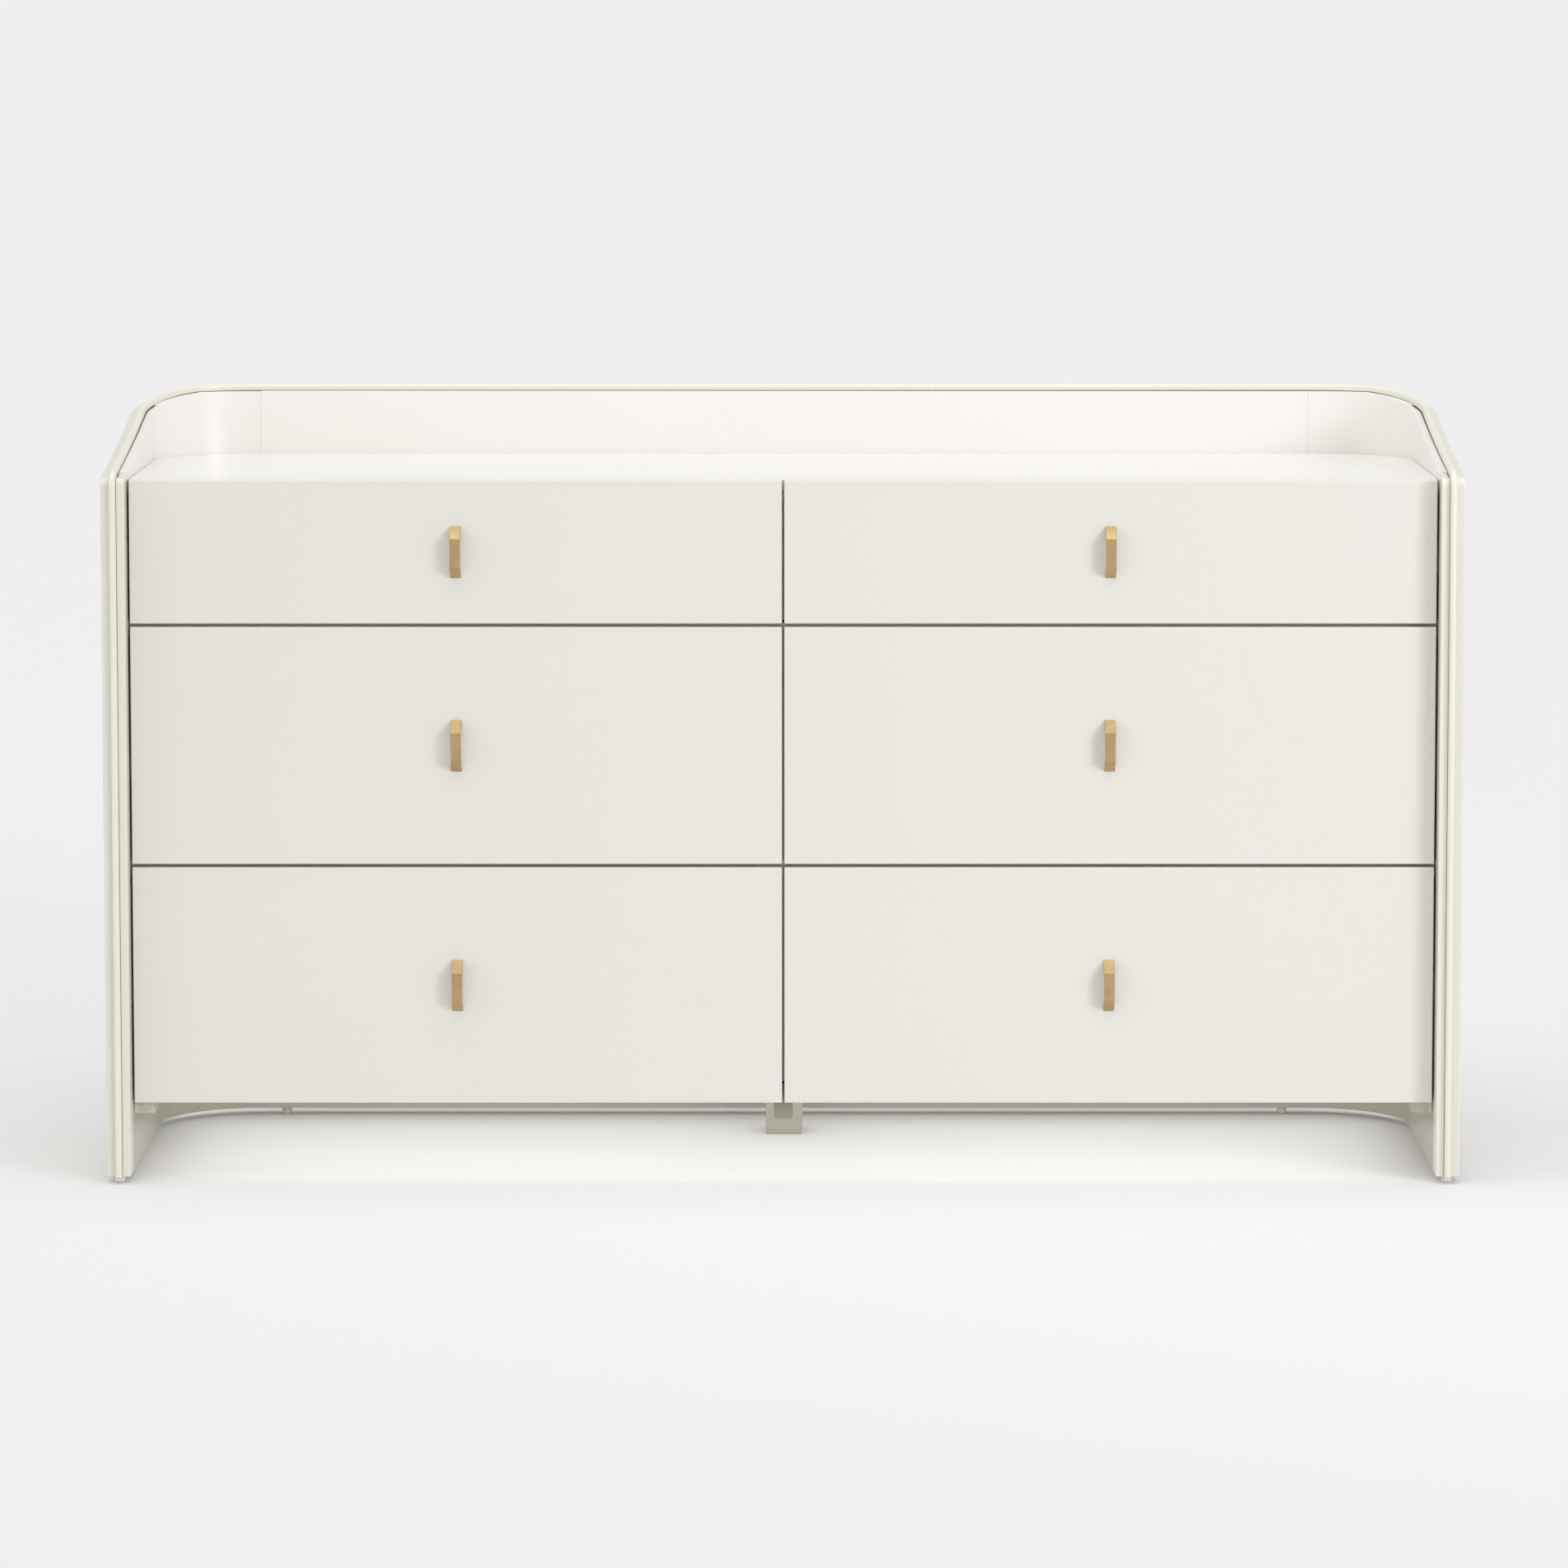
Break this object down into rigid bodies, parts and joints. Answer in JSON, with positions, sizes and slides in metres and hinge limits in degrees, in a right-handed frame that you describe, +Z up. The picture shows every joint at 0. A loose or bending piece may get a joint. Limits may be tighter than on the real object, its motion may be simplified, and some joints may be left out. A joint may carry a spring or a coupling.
{
  "type": "dresser with drawers",
  "caption": "Wide low dresser with two columns of drawers, bridge pulls, and a wrap-round shell with rounded back corners that rises behind the top as a gallery.",
  "frame": {"origin": "on the floor, under the centre of the dresser's bounding box", "axes": "+Z up, -Y towards the drawer faces, +X to the right of someone facing the front"},
  "size_m": [1.6, 0.494, 0.918],
  "materials": {
    "ivory_lacquer": "semi-gloss ivory lacquer on board and bent panels",
    "brushed_brass": "fine brushed satin brass",
    "drawer_wood": "clear matt finish on pale solid wood",
    "plywood": "sanded thin plywood",
    "zinc_steel": "zinc-plated pressed steel",
    "raw_wood": "sawn, unfinished",
    "glide_nylon": "moulded nylon"
  },
  "bodies": {
    "case": {"shell_left": "ivory_lacquer", "shell_right": "ivory_lacquer", "shell_back": "ivory_lacquer", "side_liner_left": "ivory_lacquer", "side_liner_right": "ivory_lacquer", "corner_liner_left": "ivory_lacquer", "corner_liner_right": "ivory_lacquer", "back_liner": "ivory_lacquer", "edge_bead": "ivory_lacquer", "top_panel": "ivory_lacquer", "bottom_panel": "ivory_lacquer", "centre_divider": "ivory_lacquer", "centre_batten": "ivory_lacquer", "centre_leg": "ivory_lacquer", "upper_rail_left": "ivory_lacquer", "upper_rail_right": "ivory_lacquer", "lower_rail_left": "ivory_lacquer", "lower_rail_right": "ivory_lacquer", "cleat_left": "raw_wood", "cleat_right": "raw_wood", "glide_front_left": "glide_nylon", "glide_front_right": "glide_nylon", "glide_back_left": "glide_nylon", "glide_back_right": "glide_nylon", "top_left_slide_left": "zinc_steel", "top_left_slide_right": "zinc_steel", "middle_left_slide_left": "zinc_steel", "middle_left_slide_right": "zinc_steel", "bottom_left_slide_left": "zinc_steel", "bottom_left_slide_right": "zinc_steel", "top_right_slide_left": "zinc_steel", "top_right_slide_right": "zinc_steel", "middle_right_slide_left": "zinc_steel", "middle_right_slide_right": "zinc_steel", "bottom_right_slide_left": "zinc_steel", "bottom_right_slide_right": "zinc_steel"},
    "top_left_drawer": {"top_left_face": "ivory_lacquer", "top_left_box": "drawer_wood", "top_left_base": "plywood", "top_left_pull": "brushed_brass"},
    "middle_left_drawer": {"middle_left_face": "ivory_lacquer", "middle_left_box": "drawer_wood", "middle_left_base": "plywood", "middle_left_pull": "brushed_brass"},
    "bottom_left_drawer": {"bottom_left_face": "ivory_lacquer", "bottom_left_box": "drawer_wood", "bottom_left_base": "plywood", "bottom_left_pull": "brushed_brass"},
    "top_right_drawer": {"top_right_face": "ivory_lacquer", "top_right_box": "drawer_wood", "top_right_base": "plywood", "top_right_pull": "brushed_brass"},
    "middle_right_drawer": {"middle_right_face": "ivory_lacquer", "middle_right_box": "drawer_wood", "middle_right_base": "plywood", "middle_right_pull": "brushed_brass"},
    "bottom_right_drawer": {"bottom_right_face": "ivory_lacquer", "bottom_right_box": "drawer_wood", "bottom_right_base": "plywood", "bottom_right_pull": "brushed_brass"}
  },
  "joints": [
    {"name": "top_left_slide", "type": "slide", "parent": "case", "child": "top_left_drawer", "axis": [0, -1, 0], "range_m": [0, 0.225]},
    {"name": "middle_left_slide", "type": "slide", "parent": "case", "child": "middle_left_drawer", "axis": [0, -1, 0], "range_m": [0, 0.225]},
    {"name": "bottom_left_slide", "type": "slide", "parent": "case", "child": "bottom_left_drawer", "axis": [0, -1, 0], "range_m": [0, 0.225]},
    {"name": "top_right_slide", "type": "slide", "parent": "case", "child": "top_right_drawer", "axis": [0, -1, 0], "range_m": [0, 0.225]},
    {"name": "middle_right_slide", "type": "slide", "parent": "case", "child": "middle_right_drawer", "axis": [0, -1, 0], "range_m": [0, 0.225]},
    {"name": "bottom_right_slide", "type": "slide", "parent": "case", "child": "bottom_right_drawer", "axis": [0, -1, 0], "range_m": [0, 0.225]}
  ]
}
